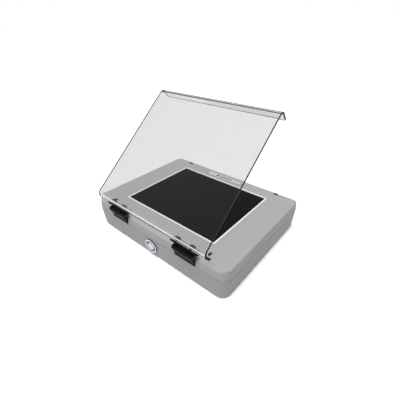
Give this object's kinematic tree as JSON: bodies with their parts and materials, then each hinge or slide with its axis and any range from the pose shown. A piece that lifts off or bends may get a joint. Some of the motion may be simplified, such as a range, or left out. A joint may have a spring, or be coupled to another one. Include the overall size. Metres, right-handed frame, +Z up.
{
  "type": "uv transilluminator",
  "caption": "Low grey light box with a dark ultraviolet filter window, a round lit power button and a clear bent acrylic cover on two black friction hinges.",
  "frame": {"origin": "middle of the filter's upper face, where a gel is laid; the feet stand 59.6 mm below it", "axes": "+Z up, +Y to the rear, +X to the right along the hinge axis; the cover is stored half open as in its usual working pose"},
  "size_m": [0.3066, 0.2532, 0.2327],
  "materials": {
    "housing_grey": "satin",
    "filter_glass": "gloss",
    "bright_trim": "polished",
    "black_seal": "matte",
    "badge_finish": "satin",
    "clear_acrylic": "polished",
    "black_nylon": "satin",
    "steel": "satin",
    "black_screw": "satin",
    "cap_white": "gloss",
    "ring_blue": "gloss",
    "switch_black": "matte",
    "lamp_glass": "gloss",
    "holder_white": "matte",
    "reflector": "polished",
    "board_green": "matte",
    "core_brown": "matte",
    "lead_grey": "matte"
  },
  "bodies": {
    "housing": {"badge_plate": "badge_finish", "ballast_board": "board_green", "ballast_capacitor": "switch_black", "ballast_transformer": "core_brown", "bottom_shell": "housing_grey", "bumper_front_left": "black_seal", "bumper_front_right": "black_seal", "bumper_rear_left": "black_seal", "bumper_rear_right": "black_seal", "button_bezel": "cap_white", "button_light_ring": "ring_blue", "filter_frame": "bright_trim", "filter_gasket": "black_seal", "filter_glass": "filter_glass", "foot_front_left": "black_seal", "foot_front_right": "black_seal", "foot_rear_left": "black_seal", "foot_rear_right": "black_seal", "inlet_lead": "lead_grey", "inlet_screw_1": "steel", "inlet_screw_2": "steel", "lamp_holder_left": "holder_white", "lamp_holder_right": "holder_white", "left_base_screw_1": "steel", "left_base_screw_2": "steel", "left_hinge_base": "black_nylon", "left_hinge_pin": "steel", "mains_inlet": "switch_black", "reflector_tray": "reflector", "right_base_screw_1": "steel", "right_base_screw_2": "steel", "right_hinge_base": "black_nylon", "right_hinge_pin": "steel", "shell_screw_front_left": "steel", "shell_screw_front_right": "steel", "shell_screw_rear_left": "steel", "shell_screw_rear_right": "steel", "switch_body": "switch_black", "switch_lead": "lead_grey", "switch_nut": "switch_black", "top_shell": "housing_grey", "uv_lamp_1": "lamp_glass", "uv_lamp_2": "lamp_glass", "uv_lamp_3": "lamp_glass", "uv_lamp_4": "lamp_glass", "uv_lamp_5": "lamp_glass", "uv_lamp_6": "lamp_glass"},
    "cover": {"cover_sheet": "clear_acrylic", "left_hinge_leaf": "black_nylon", "right_hinge_leaf": "black_nylon", "left_cover_screw_1": "black_screw", "left_cover_screw_2": "black_screw", "right_cover_screw_1": "black_screw", "right_cover_screw_2": "black_screw"},
    "button": {"button_cap": "cap_white"},
    "fuse_drawer": {"fuse_drawer": "switch_black"}
  },
  "joints": [
    {"name": "cover_hinge", "type": "hinge", "parent": "housing", "child": "cover", "pos_m": [0, -0.124, 0.0004], "axis": [1, 0, 0], "range_deg": [-40.8, 69.2]},
    {"name": "power_button", "type": "slide", "parent": "housing", "child": "button", "axis": [0, 0.9978, 0.0668], "range_m": [0, 0.0018], "stiffness_N_per_m": 800, "springref_m": -0.0012},
    {"name": "fuse_drawer_slide", "type": "slide", "parent": "housing", "child": "fuse_drawer", "axis": [0, 0.9978, -0.0668], "range_m": [0, 0.014]}
  ]
}
